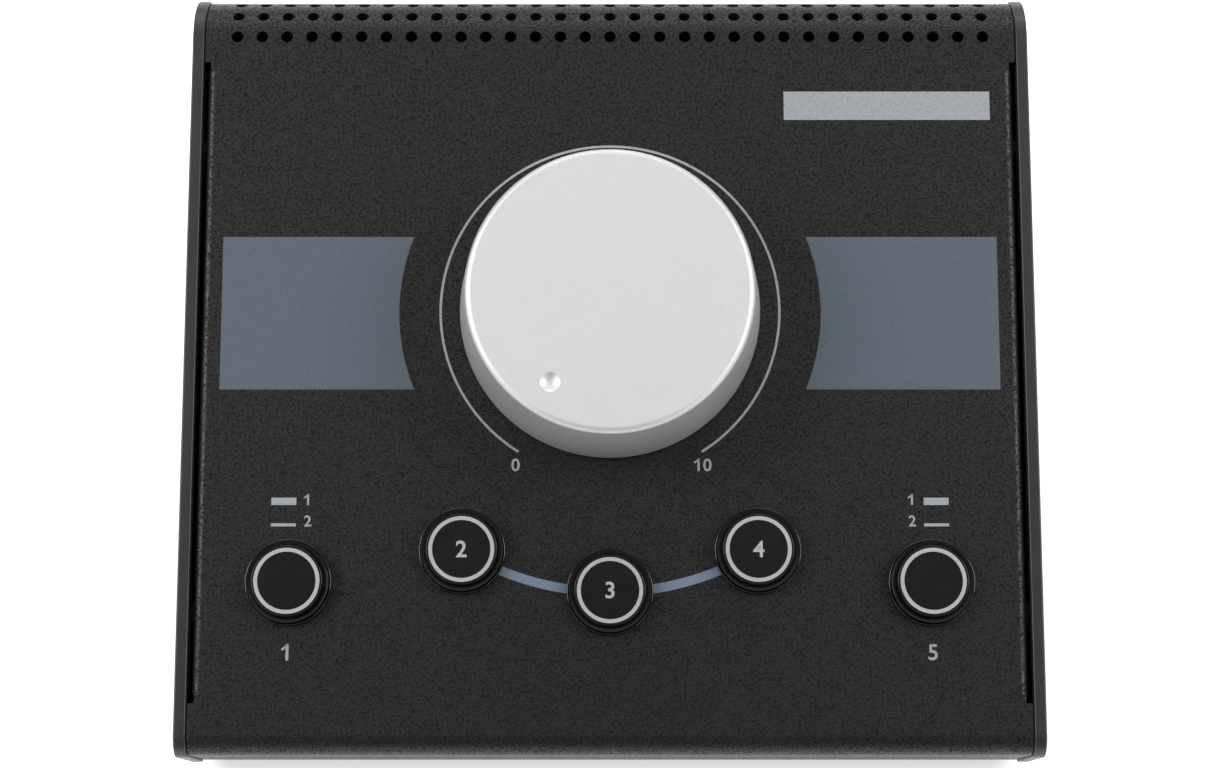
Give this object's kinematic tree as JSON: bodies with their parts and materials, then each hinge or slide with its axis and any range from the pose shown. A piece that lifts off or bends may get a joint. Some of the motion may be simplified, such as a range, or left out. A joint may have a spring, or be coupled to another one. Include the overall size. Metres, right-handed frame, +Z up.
{
  "type": "studio monitor controller",
  "caption": "Wedge-shaped desktop monitor controller with a large turning volume knob, push buttons that travel and a recessed socket panel at the back.",
  "frame": {"origin": "centre of the outline on the surface that the feet stand on", "axes": "+X to the right of someone facing the panel, +Y to the back, +Z up"},
  "size_m": [0.14, 0.126, 0.0636],
  "materials": {
    "cover_coat": "fine-textured black powder coat on folded steel",
    "cheek_coat": "smooth satin black coat on aluminium plate",
    "knob_aluminium": "bead-blasted, clear anodised",
    "gloss_black_plastic": "moulded gloss black",
    "hub_plastic": "moulded matt black",
    "plunger_plastic": "natural moulded",
    "board_laminate": "green solder mask",
    "zinc_steel": "bright zinc plate",
    "black_screws": "black oxide",
    "foot_rubber": "matt black",
    "socket_plastic": "moulded black",
    "control_case": "plated steel can",
    "track_laminate": "brown phenolic",
    "wiper_brass": "plain spring brass",
    "ribbon_grey": "grey flat cable"
  },
  "bodies": {
    "enclosure": {"base_pan": "cover_coat", "left_cheek": "cheek_coat", "right_cheek": "cheek_coat", "top_cover": "cover_coat", "rear_panel": "cover_coat", "rubber_feet": "foot_rubber", "foot_screws": "zinc_steel", "cheek_screws": "black_screws", "cheek_spacers": "zinc_steel", "pan_screws": "zinc_steel", "control_board": "board_laminate", "board_standoffs": "zinc_steel", "jack_board": "board_laminate", "ribbon_cable": "ribbon_grey", "ribbon_headers": "socket_plastic", "pot_housing": "control_case", "pot_bushing": "zinc_steel", "pot_washer": "zinc_steel", "pot_nut": "zinc_steel", "pot_terminals": "zinc_steel", "pot_track": "track_laminate", "switch_housings": "socket_plastic", "bezel_source": "gloss_black_plastic", "bezel_mono": "gloss_black_plastic", "bezel_mute": "gloss_black_plastic", "bezel_dim": "gloss_black_plastic", "bezel_monitor": "gloss_black_plastic", "spring_source": "zinc_steel", "spring_mono": "zinc_steel", "spring_mute": "zinc_steel", "spring_dim": "zinc_steel", "spring_monitor": "zinc_steel", "socket_1": "socket_plastic", "socket_2": "socket_plastic", "socket_3": "socket_plastic", "socket_4": "socket_plastic", "socket_5": "socket_plastic", "socket_6": "socket_plastic", "socket_7": "socket_plastic", "socket_8": "socket_plastic", "mini_socket": "socket_plastic", "socket_washers": "zinc_steel", "socket_nuts": "zinc_steel", "mini_nut": "zinc_steel", "socket_pins": "zinc_steel"},
    "volume_knob": {"knob_shell": "knob_aluminium", "knob_hub": "hub_plastic", "pot_shaft": "zinc_steel", "pot_wiper": "wiper_brass"},
    "source_button": {"cap_source": "gloss_black_plastic", "plunger_source": "plunger_plastic"},
    "mono_button": {"cap_mono": "gloss_black_plastic", "plunger_mono": "plunger_plastic"},
    "mute_button": {"cap_mute": "gloss_black_plastic", "plunger_mute": "plunger_plastic"},
    "dim_button": {"cap_dim": "gloss_black_plastic", "plunger_dim": "plunger_plastic"},
    "monitor_button": {"cap_monitor": "gloss_black_plastic", "plunger_monitor": "plunger_plastic"}
  },
  "joints": [
    {"name": "volume_turn", "type": "hinge", "parent": "enclosure", "child": "volume_knob", "pos_m": [0, 0.00668, 0.04178], "axis": [0, 0.2588, -0.9659], "range_deg": [0, 293]},
    {"name": "source_press", "type": "slide", "parent": "enclosure", "child": "source_button", "axis": [0, 0.2588, -0.9659], "range_m": [0, 0.0025], "stiffness_N_per_m": 400, "springref_m": -0.002, "deforming": ["spring_source"]},
    {"name": "mono_press", "type": "slide", "parent": "enclosure", "child": "mono_button", "axis": [0, 0.2588, -0.9659], "range_m": [0, 0.0025], "stiffness_N_per_m": 400, "springref_m": -0.002, "deforming": ["spring_mono"]},
    {"name": "mute_press", "type": "slide", "parent": "enclosure", "child": "mute_button", "axis": [0, 0.2588, -0.9659], "range_m": [0, 0.0025], "stiffness_N_per_m": 400, "springref_m": -0.002, "deforming": ["spring_mute"]},
    {"name": "dim_press", "type": "slide", "parent": "enclosure", "child": "dim_button", "axis": [0, 0.2588, -0.9659], "range_m": [0, 0.0025], "stiffness_N_per_m": 400, "springref_m": -0.002, "deforming": ["spring_dim"]},
    {"name": "monitor_press", "type": "slide", "parent": "enclosure", "child": "monitor_button", "axis": [0, 0.2588, -0.9659], "range_m": [0, 0.0025], "stiffness_N_per_m": 400, "springref_m": -0.002, "deforming": ["spring_monitor"]}
  ]
}
